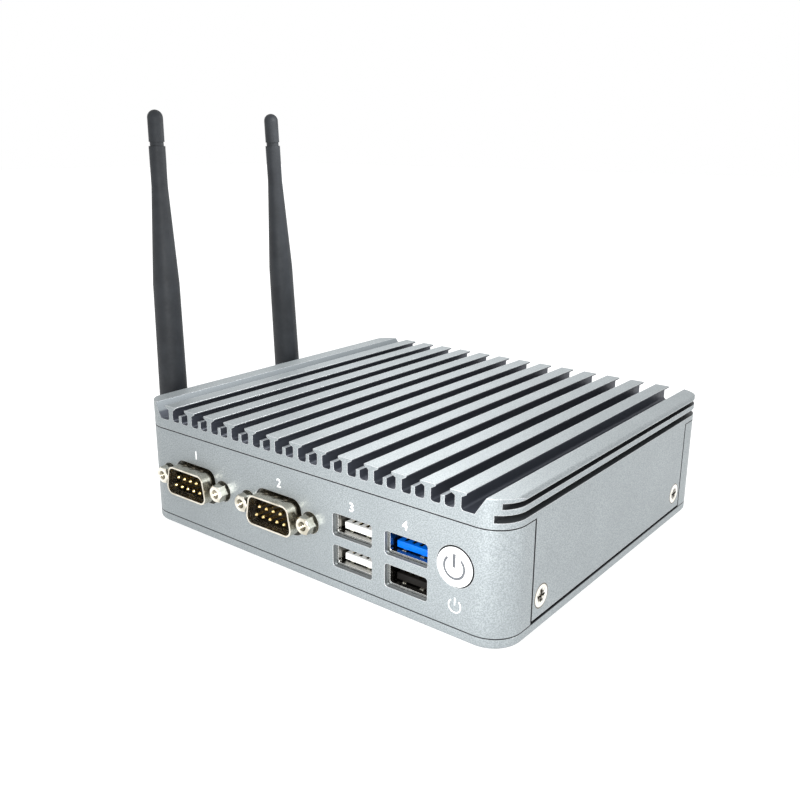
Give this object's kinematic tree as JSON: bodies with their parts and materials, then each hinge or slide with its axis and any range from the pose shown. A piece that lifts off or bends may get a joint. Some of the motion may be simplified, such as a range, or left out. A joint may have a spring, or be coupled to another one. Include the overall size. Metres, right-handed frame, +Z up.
{
  "type": "fanless industrial pc",
  "caption": "Flat fanless industrial computer: finned aluminium cover over a flat case, serial, USB and network ports, power button, tilting side antennas.",
  "frame": {"origin": "centre of the bracket hole pattern, on the bottom plate's underside; the rubber feet reach 1.6 mm below it", "axes": "+X along the front face to the right as seen from the front, +Y towards the rear ports, +Z up out of the fins"},
  "size_m": [0.1569, 0.1304, 0.1296],
  "materials": {
    "cover_aluminium": "bead-blasted, silver anodised",
    "panel_aluminium": "bead-blasted, silver anodised",
    "block_aluminium": "milled",
    "foot_rubber": "matt",
    "screw_steel": "nickel plated",
    "standoff_brass": "turned",
    "circuit_board": "solder mask over fibreglass",
    "chip_plastic": "satin",
    "thermal_pad_grey": "soft matt",
    "socket_plastic": "satin moulded",
    "cell_steel": "satin",
    "port_nickel": "nickel plated, bright",
    "video_blue": "satin moulded",
    "contact_gold": "gold plated",
    "tongue_white": "satin moulded",
    "tongue_blue": "satin moulded",
    "button_white": "satin",
    "antenna_black": "matt, soft touch",
    "pivot_steel": "satin"
  },
  "bodies": {
    "computer": {"antenna_nuts": "contact_gold", "audio_jack": "socket_plastic", "board_screws": "screw_steel", "board_standoffs": "standoff_brass", "bottom_plate": "panel_aluminium", "bottom_screws": "screw_steel", "button_board": "circuit_board", "button_housing": "socket_plastic", "button_switch": "socket_plastic", "card_screws": "screw_steel", "card_standoffs": "standoff_brass", "coin_cell": "cell_steel", "coin_cell_holder": "socket_plastic", "front_antenna_connector": "contact_gold", "front_panel": "panel_aluminium", "hdmi_shell": "port_nickel", "hdmi_tongue": "socket_plastic", "heat_block": "block_aluminium", "jackscrews": "port_nickel", "lan_contacts": "contact_gold", "lan_ports": "port_nickel", "mainboard": "circuit_board", "memory_module": "circuit_board", "memory_socket": "socket_plastic", "power_jack": "socket_plastic", "power_jack_pin": "contact_gold", "processor": "chip_plastic", "rear_antenna_connector": "contact_gold", "rear_panel": "panel_aluminium", "rubber_feet": "foot_rubber", "serial_1_insert": "socket_plastic", "serial_1_pins": "contact_gold", "serial_1_shell": "port_nickel", "serial_2_insert": "socket_plastic", "serial_2_pins": "contact_gold", "serial_2_shell": "port_nickel", "side_screws": "screw_steel", "storage_card": "circuit_board", "storage_socket": "socket_plastic", "thermal_pad": "thermal_pad_grey", "top_cover": "cover_aluminium", "usb_contacts": "contact_gold", "usb_left_shell": "port_nickel", "usb_left_tongues": "tongue_white", "usb_right_lower_tongue": "socket_plastic", "usb_right_shell": "port_nickel", "usb_right_upper_tongue": "tongue_blue", "video_insert": "video_blue", "video_shell": "port_nickel", "wireless_card": "circuit_board", "wireless_socket": "socket_plastic"},
    "power_button": {"power_button": "button_white"},
    "front_antenna_base": {"front_antenna_base": "antenna_black", "front_antenna_pivot": "pivot_steel"},
    "front_antenna_mast": {"front_antenna_mast": "antenna_black"},
    "rear_antenna_base": {"rear_antenna_base": "antenna_black", "rear_antenna_pivot": "pivot_steel"},
    "rear_antenna_mast": {"rear_antenna_mast": "antenna_black"}
  },
  "joints": [
    {"name": "power_button_press", "type": "slide", "parent": "computer", "child": "power_button", "axis": [0, 1, 0], "range_m": [0, 0.0007], "stiffness_N_per_m": 2000, "springref_m": -0.0003},
    {"name": "front_antenna_swivel", "type": "hinge", "parent": "computer", "child": "front_antenna_base", "pos_m": [-0.084, -0.0367, 0.0185], "axis": [1, 0, 0], "range_deg": [-12, 90]},
    {"name": "front_antenna_tilt", "type": "hinge", "parent": "front_antenna_base", "child": "front_antenna_mast", "pos_m": [-0.084, -0.0367, 0.0185], "axis": [0, -1, 0], "range_deg": [0, 90]},
    {"name": "rear_antenna_swivel", "type": "hinge", "parent": "computer", "child": "rear_antenna_base", "pos_m": [-0.084, 0.0198, 0.0185], "axis": [1, 0, 0], "range_deg": [-93, 8]},
    {"name": "rear_antenna_tilt", "type": "hinge", "parent": "rear_antenna_base", "child": "rear_antenna_mast", "pos_m": [-0.084, 0.0198, 0.0185], "axis": [0, -0.9988, -0.0489], "range_deg": [0, 90]}
  ]
}
